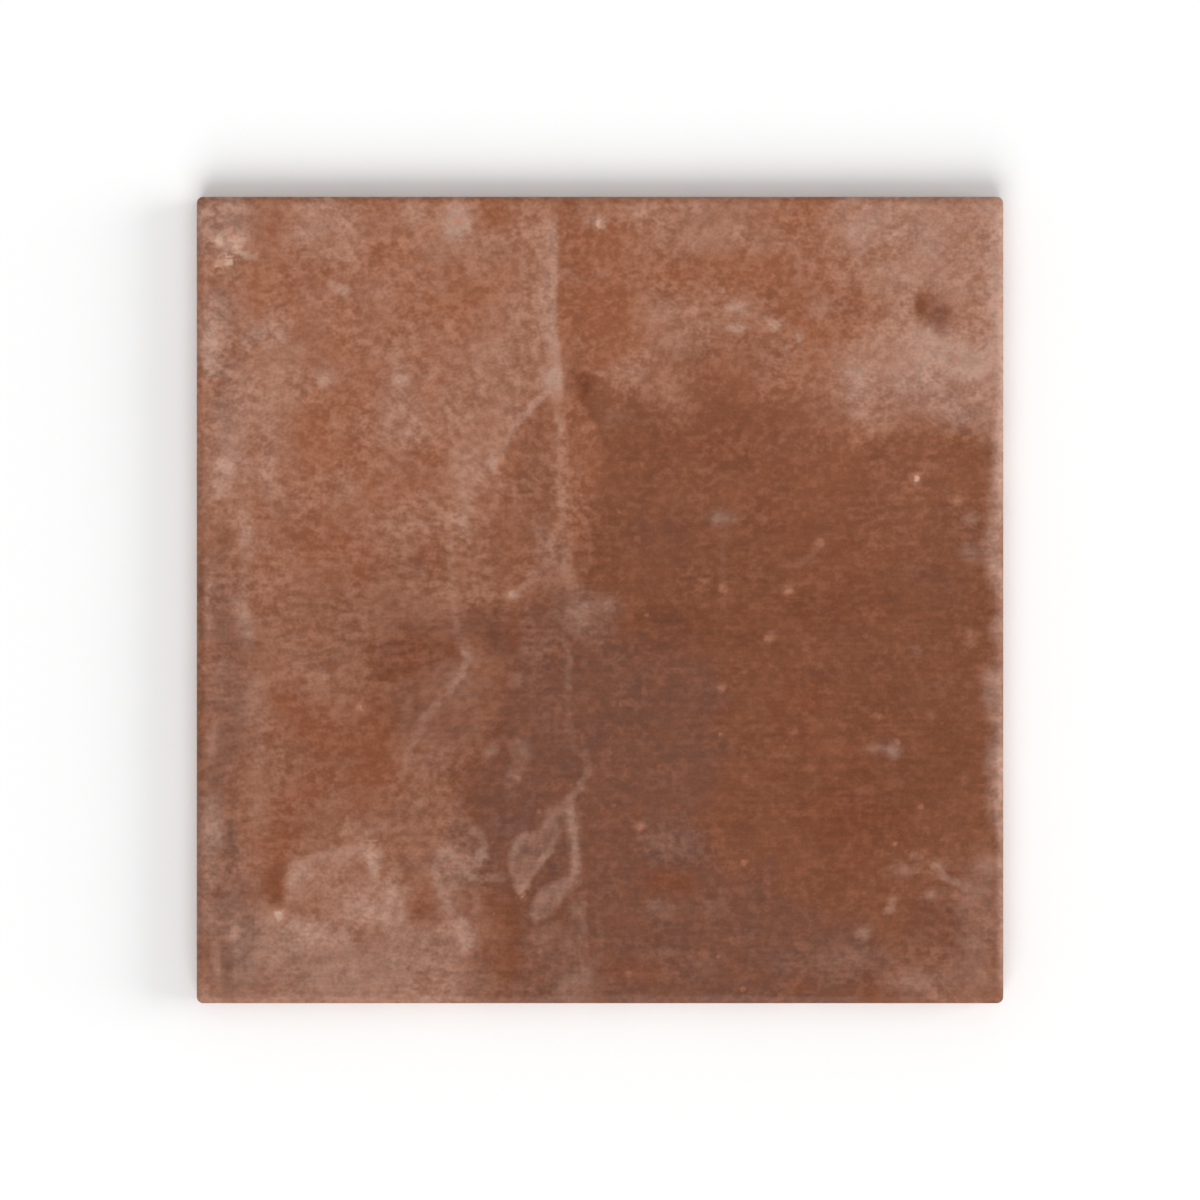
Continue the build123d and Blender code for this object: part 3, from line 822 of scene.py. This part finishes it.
def store(mesh, name, kind, values):
    """Keeps numbers worked out for each vertex, for the material to read."""
    attribute = mesh.attributes.new(name, kind, "POINT")
    attribute.data.foreach_set(ATTRIBUTE_KEYS[kind], np.ascontiguousarray(values, np.float32).ravel())


def add_object(name, data):
    thing = bpy.data.objects.new(name, data)
    bpy.context.scene.collection.objects.link(thing)
    return thing


def make_tile(material):
    """The tile's visible piece, which stands for the CAD solid."""
    vertices, faces = tile_surface()
    mesh = bpy.data.meshes.new("fired_tile")
    mesh.from_pydata((vertices * METRES).tolist(), [], faces)
    mesh.polygons.foreach_set("use_smooth", np.ones(len(mesh.polygons), bool))
    x, y, z = vertices.T
    store(mesh, "zones", "FLOAT_COLOR", np.stack(print_zones(x, y), 1))
    store(mesh, "marks", "FLOAT_VECTOR", np.stack(print_marks(x, y), 1))
    store(mesh, "glaze", "FLOAT", smooth(*glaze_levels, z))
    mesh.materials.append(material)
    mesh.update()
    piece = add_object("fired_tile", mesh)
    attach(piece, "root")
    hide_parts("tile")


# Material

SANDY = (0.298, 0.1010, 0.0445)
WARM = (0.283, 0.0890, 0.0355)
BROWN = (0.176, 0.0500, 0.0160)
RUST = (0.172, 0.0420, 0.0105)
ASH = (0.153, 0.0545, 0.0300)
PALE = (0.430, 0.2420, 0.1750)
CREAM = (0.560, 0.3500, 0.2500)
TAN = (0.390, 0.1580, 0.0900)
BODY = (0.28, 0.118, 0.070)
BODY_LIGHT = (0.40, 0.22, 0.15)
BODY_DARK = (0.15, 0.062, 0.038)
KILN_WASH = (0.48, 0.40, 0.33)

# The print's grain runs slightly, and its streaks strongly, from left to right
GRAIN_RUN = (0.85, 1.0, 1.0)
STREAK_RUN = (0.07, 1.0, 1.0)

# Dust: cells and noise to the millimetre, and how far the noise pushes the cells about
dust_cells = 0.16
dust_ragged = 0.7
dust_stray = 1.8

# Fine relief that is too small for the mesh, and how strongly the surface reflects
bump_strength = 0.35
bump_height = 0.08
reflection = 0.3


class Shades:
    """Short ways to add nodes to one material."""

    def __init__(self, name):
        self.material = bpy.data.materials.new(name)
        self.material.use_nodes = True
        self.tree = self.material.node_tree
        self.tree.nodes.clear()

    def node(self, kind, inputs=(), **settings):
        node = self.tree.nodes.new(kind)
        for key, value in settings.items():
            setattr(node, key, value)
        for socket, value in dict(inputs).items():
            if isinstance(value, bpy.types.NodeSocket):
                self.tree.links.new(value, node.inputs[socket])
            else:
                node.inputs[socket].default_value = value
        return node

    def finished(self, inputs):
        surface = self.node("ShaderNodeBsdfPrincipled", inputs)
        self.node("ShaderNodeOutputMaterial", {"Surface": surface.outputs[0]})
        return self.material

    def attribute(self, name):
        return self.node("ShaderNodeAttribute", attribute_name=name)

    def times(self, vector, factors):
        """Each part times its own factor."""
        return self.node("ShaderNodeVectorMath", {0: vector, 1: factors}, operation="MULTIPLY").outputs[0]

    def scaled(self, vector, amount):
        inputs = {0: vector, "Scale": amount}
        return self.node("ShaderNodeVectorMath", inputs, operation="SCALE").outputs[0]

    def millimetres(self):
        place = self.node("ShaderNodeTexCoord").outputs["Object"]
        return self.times(place, (1.0 / METRES,) * 3)

    def noise(self, place, size, detail=2.0, roughness=0.55):
        """Noise around 0.5, with features of about this size."""
        inputs = {"Vector": place, "Scale": 1.0 / size, "Detail": detail, "Roughness": roughness}
        return self.node("ShaderNodeTexNoise", inputs).outputs["Fac"]

    def math(self, operation, first, second=0.0, third=0.0):
        return self.node("ShaderNodeMath", {0: first, 1: second, 2: third}, operation=operation).outputs[0]

    def ramp(self, value, low, high, to_low=0.0, to_high=1.0):
        """An even S from one result to the other as the value goes from low to high."""
        inputs = {"Value": value, "From Min": low, "From Max": high, "To Min": to_low, "To Max": to_high}
        return self.node("ShaderNodeMapRange", inputs, interpolation_type="SMOOTHSTEP").outputs[0]

    def swing(self, value, low, high, amount):
        """A ramp from minus to plus an amount."""
        return self.ramp(value, low, high, -amount, amount)

    def mix(self, share, first, second):
        """A colour between two, each three numbers or a socket."""
        def colour(value):
            return value if isinstance(value, bpy.types.NodeSocket) else (*value, 1.0)
        inputs = {0: share, 6: colour(first), 7: colour(second)}
        return self.node("ShaderNodeMix", inputs, data_type="RGBA").outputs[2]


class PrintInputs:
    """What the print's colour is worked out from: the mesh's own numbers, and noises."""

    def __init__(self, s, place):
        zones = s.attribute("zones")
        shares = s.node("ShaderNodeSeparateColor", {0: zones.outputs["Color"]})
        marks = s.node("ShaderNodeSeparateXYZ", {0: s.attribute("marks").outputs["Vector"]})
        drawn_out = s.times(place, GRAIN_RUN)
        self.place = place
        self.warm, self.brown, self.ash = shares.outputs
        self.pale = zones.outputs["Alpha"]
        self.line, self.strength, self.speck = marks.outputs
        self.pattern = s.noise(drawn_out, size=6.5, detail=4.0, roughness=0.8)
        self.blotch = s.noise(drawn_out, size=5.0, detail=4.0, roughness=0.7)
        self.grain = s.noise(drawn_out, size=1.6, detail=1.0, roughness=0.6)
        self.fine = s.noise(place, size=0.6, roughness=0.6)
        self.hue = s.noise(place, size=1.2, roughness=0.6)
        self.unevenness = s.noise(place, size=11.0, detail=1.0)
        self.streak = s.noise(s.times(place, STREAK_RUN), size=1.5, detail=3.0, roughness=0.6)


def grained(s, share, grain, amount):
    """A zone's share, broken up by the grain without changing its average."""
    factor = s.ramp(grain, 0.3, 0.7, 1.0 - amount, 1.0 + amount)
    return s.node("ShaderNodeMath", {0: share, 1: factor}, operation="MULTIPLY", use_clamp=True).outputs[0]


def curls(s, place):
    """Share of the thin pale curls in the print, where a slow noise passes its middle value."""
    flow = s.noise(place, size=9.0, roughness=0.5)
    off_middle = s.math("ABSOLUTE", s.math("SUBTRACT", flow, 0.5))
    here_and_there = s.ramp(s.noise(place, size=13.0, detail=1.0), 0.48, 0.62, to_high=0.13)
    return s.math("MULTIPLY", s.ramp(off_middle, 0.03, 0.0), here_and_there)


def dust(s, place):
    """Share of the sparse small specks, each where a cell's middle comes near the surface."""
    stray = s.node("ShaderNodeTexNoise", {"Vector": place, "Scale": dust_ragged}).outputs["Color"]
    inputs = {0: stray, 1: (dust_stray,) * 3, 2: place}
    ragged = s.node("ShaderNodeVectorMath", inputs, operation="MULTIPLY_ADD").outputs[0]
    cells = s.node("ShaderNodeTexVoronoi", {"Vector": ragged, "Scale": dust_cells})
    chosen = s.node("ShaderNodeSeparateColor", {0: cells.outputs["Color"]}).outputs[0]
    dot = s.ramp(cells.outputs["Distance"], 0.15, 0.06)
    return s.math("MULTIPLY", dot, s.ramp(chosen, 0.35, 1.0, to_high=0.48))


def sandy_grain(s, p):
    """Light and dark sand, above and below 0, calmer on the brown."""
    sand = s.math("ADD", s.swing(p.pattern, 0.3, 0.7, 0.28), s.swing(p.grain, 0.2, 0.8, 1.8))
    on_brown = s.ramp(p.brown, 0.05, 0.5, 0.9, 0.75)
    by_place = s.ramp(p.unevenness, 0.35, 0.65, 0.75, 1.25)
    return s.math("MULTIPLY", sand, s.math("MULTIPLY", on_brown, by_place))


def zone_colour(s, p):
    """Sandy or warm ground, then brown or rusty over it, then ash."""
    light = s.mix(grained(s, p.warm, p.pattern, 0.25), SANDY, WARM)
    deep = s.mix(grained(s, p.warm, p.blotch, 0.45), BROWN, RUST)
    colour = s.mix(grained(s, p.brown, p.blotch, 0.15), light, deep)
    return s.mix(grained(s, p.ash, p.blotch, 0.35), colour, ASH)


def add_pale(s, p, colour, sand):
    """The pale veil, with the sand and the thin curls that show in it."""
    shown = s.ramp(p.brown, 0.4, 1.0, 0.09, 0.035)
    pale = s.math("MULTIPLY_ADD", sand, shown, grained(s, p.pale, p.pattern, 0.3))
    curled = s.math("MULTIPLY", curls(s, p.place), s.ramp(p.brown, 0.2, 0.7, 1.0, 0.15))
    pale = s.math("ADD", pale, curled)
    return s.mix(s.math("MAXIMUM", pale, 0.0), colour, PALE)


def add_lines(s, p, colour):
    """The pale lines, as wide and as broken as the grain makes them."""
    half_width = s.math("MULTIPLY_ADD", p.grain, 1.1, 0.35)
    within = s.ramp(s.math("SUBTRACT", half_width, s.math("ABSOLUTE", p.line)), -0.7, 0.7)
    on_line = s.math("MULTIPLY", within, s.ramp(p.blotch, 0.3, 0.7, 0.26, 0.76))
    bright = s.mix(s.ramp(p.strength, 0.9, 1.4), PALE, CREAM)
    return s.mix(s.math("MULTIPLY", on_line, p.strength), colour, bright)


def add_specks(s, p, colour):
    """The dust that lies on the brown, and the larger specks."""
    dusty = s.math("MULTIPLY", dust(s, p.place), s.ramp(p.brown, 0.5, 0.9))
    colour = s.mix(dusty, colour, TAN)
    dab = s.mix(s.ramp(p.speck, 0.6, 0.95), TAN, CREAM)
    return s.mix(grained(s, p.speck, p.grain, 0.25), colour, dab)


def shift_hue(s, p, colour):
    """A little redder or bluer from grain to grain."""
    shift = s.swing(p.hue, 0.25, 0.75, 0.04)
    red, blue = s.math("ADD", 1.0, shift), s.math("SUBTRACT", 1.0, shift)
    return s.times(colour, s.node("ShaderNodeCombineXYZ", {0: red, 1: 1.0, 2: blue}).outputs[0])


def print_light(s, p, sand):
    """How light the print is, by its sand, fine grain and streaks, and less in its darkest spots."""
    light = s.math("MULTIPLY_ADD", sand, 0.085, 1.0)
    light = s.math("ADD", light, s.swing(p.fine, 0.25, 0.75, 0.05))
    streaks = s.math("MULTIPLY", s.swing(p.streak, 0.3, 0.7, 0.08), p.brown)
    light = s.math("ADD", light, streaks)
    return s.math("MULTIPLY", light, s.ramp(p.brown, 1.0, most_share, 1.0, 0.75))


def printed_face(s, place):
    """Colour of the fired print."""
    p = PrintInputs(s, place)
    sand = sandy_grain(s, p)
    colour = add_pale(s, p, zone_colour(s, p), sand)
    colour = add_specks(s, p, add_lines(s, p, colour))
    return s.scaled(shift_hue(s, p, colour), print_light(s, p, sand))


def fired_body(s, place):
    """Colour of the bare body on the sides and the back."""
    coarse = s.noise(place, size=14.0, detail=4.0, roughness=0.6)
    sand = s.noise(place, size=1.1, roughness=0.6)
    crumbs = s.noise(place, size=0.45, detail=1.0, roughness=0.5)
    colour = s.mix(s.ramp(coarse, 0.3, 0.7), BODY, BODY_LIGHT)
    colour = s.mix(s.ramp(sand, 0.56, 0.70, to_high=0.45), colour, BODY_DARK)
    colour = s.mix(s.ramp(sand, 0.42, 0.30, to_high=0.40), colour, KILN_WASH)
    colour = s.mix(s.ramp(crumbs, 0.60, 0.70, to_high=0.60), colour, BODY_DARK)
    return s.mix(s.ramp(crumbs, 0.38, 0.30, to_high=0.55), colour, KILN_WASH)


def make_material():
    """The print where the glaze covers the body, and the bare body elsewhere."""
    s = Shades("terracotta_porcelain")
    place = s.millimetres()
    glaze = s.attribute("glaze").outputs["Fac"]
    patchy = s.noise(place, size=2.4, detail=3.0, roughness=0.6)
    covered = s.ramp(s.math("MULTIPLY_ADD", patchy, 0.5, glaze), 0.55, 0.85)
    grit = s.noise(place, size=0.55, detail=3.0, roughness=0.65)
    brushed = s.noise(place, size=2.2, roughness=0.5)
    relief = s.math("MULTIPLY_ADD", brushed, 1.6, grit)
    bump = {"Strength": bump_strength, "Distance": bump_height * METRES, "Height": relief}
    return s.finished({
        "Base Color": s.mix(covered, fired_body(s, place), printed_face(s, place)),
        "Roughness": s.ramp(s.noise(place, size=6.0, detail=3.0), 0.3, 0.7, 0.50, 0.62),
        "Normal": s.node("ShaderNodeBump", bump).outputs[0],
        "Specular IOR Level": reflection,
    })


# Stage, light and camera, in metres and degrees unless a name says otherwise

FLOOR_WHITE = (0.955, 0.955, 0.955)
FLOOR_WARM = (0.950, 0.948, 0.945)
FLOOR_CORNERS = ((-1, -1), (1, -1), (1, 1), (-1, 1))
floor_half = 6.0
floor_level = -0.0001
lamp_distance = 3.0
picture_pixels = 1200
tile_pixels = 807
frame_share = tile_pixels / picture_pixels
camera_height = 2.4
view_depth = 50.0
sensor_millimetres = 36.0


def make_floor():
    """A plain white floor."""
    mesh = bpy.data.meshes.new("floor")
    corners = [(x * floor_half, y * floor_half, floor_level) for x, y in FLOOR_CORNERS]
    mesh.from_pydata(corners, [], [(0, 1, 2, 3)])
    s = Shades("white_floor")
    cloud = s.noise(s.millimetres(), size=300.0)
    mesh.materials.append(s.finished({
        "Base Color": s.mix(cloud, FLOOR_WHITE, FLOOR_WARM),
        "Roughness": 0.9,
        "Specular IOR Level": 0.0,
    }))
    add_object("floor", mesh)


def make_light(name, azimuth, elevation, share, softness):
    """A soft lamp that gives a level surface this share of its light."""
    lamp = bpy.data.lights.new(name, "SUN")
    lamp.energy = share * math.pi / math.sin(math.radians(elevation))
    lamp.angle = math.radians(softness)
    a, e = math.radians(azimuth), math.radians(elevation)
    towards = Vector((math.cos(a) * math.cos(e), math.sin(a) * math.cos(e), math.sin(e)))
    light = add_object(name, lamp)
    light.rotation_euler = towards.to_track_quat("Z", "Y").to_euler()
    light.location = towards * lamp_distance


def make_world(share):
    """White light from all round, which gives a level surface this share of its light."""
    world = bpy.data.worlds.new("studio")
    world.use_nodes = True
    background = world.node_tree.nodes["Background"]
    background.inputs["Color"].default_value = (1.0, 1.0, 1.0, 1.0)
    background.inputs["Strength"].default_value = share
    bpy.context.scene.world = world


def make_camera():
    """A camera straight above, in whose picture the tile takes up its share of the width."""
    lens = bpy.data.cameras.new("camera")
    width = 2 * half_side * METRES / frame_share
    lens.sensor_width = sensor_millimetres
    lens.lens = sensor_millimetres * (camera_height - thickness * METRES) / width
    lens.clip_end = view_depth
    camera = add_object("camera", lens)
    camera.location = (0.0, 0.0, camera_height)
    bpy.context.scene.camera = camera


make_camera()
make_tile(make_material())
make_floor()
make_world(share=0.49)
make_light("light_from_front", azimuth=-93, elevation=44, share=0.40, softness=50)
make_light("light_from_right", azimuth=2, elevation=20, share=0.17, softness=34)
bpy.context.scene.view_settings.view_transform = "Standard"
